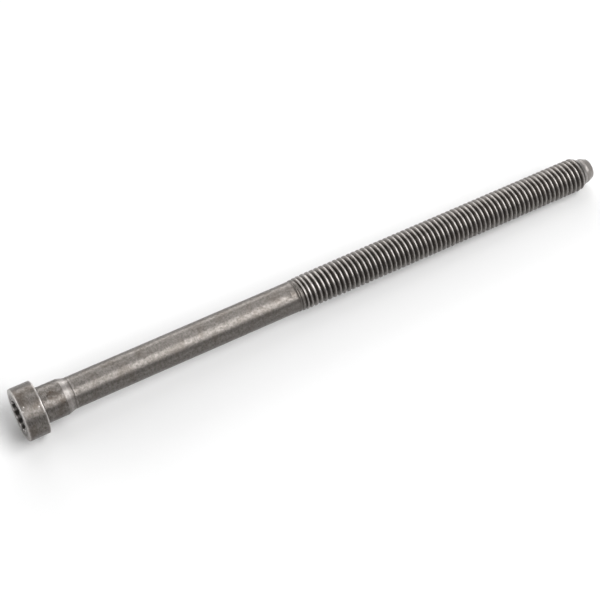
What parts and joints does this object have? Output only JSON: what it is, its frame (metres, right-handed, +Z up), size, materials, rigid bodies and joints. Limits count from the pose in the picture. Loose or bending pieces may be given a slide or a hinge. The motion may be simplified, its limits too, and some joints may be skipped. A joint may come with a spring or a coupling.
{
  "type": "cylinder head bolt",
  "caption": "Long socket head bolt with a round head, fitted shoulder, plain shank, rolled metric thread and a plain lead-in point.",
  "frame": {"origin": "middle of the footprint, on the floor that the bolt lies on", "axes": "+X along the bolt from head to point, +Z up; the axis dips 0.86 degrees towards the point, because the bolt rests on its head rim and its last threads"},
  "size_m": [0.1826, 0.015, 0.0151],
  "materials": {
    "oiled_steel": "thin dark oiled phosphate, satin, with bright rubbed crests and edges"
  },
  "bodies": {
    "root": {"bolt": "oiled_steel"}
  },
  "joints": []
}
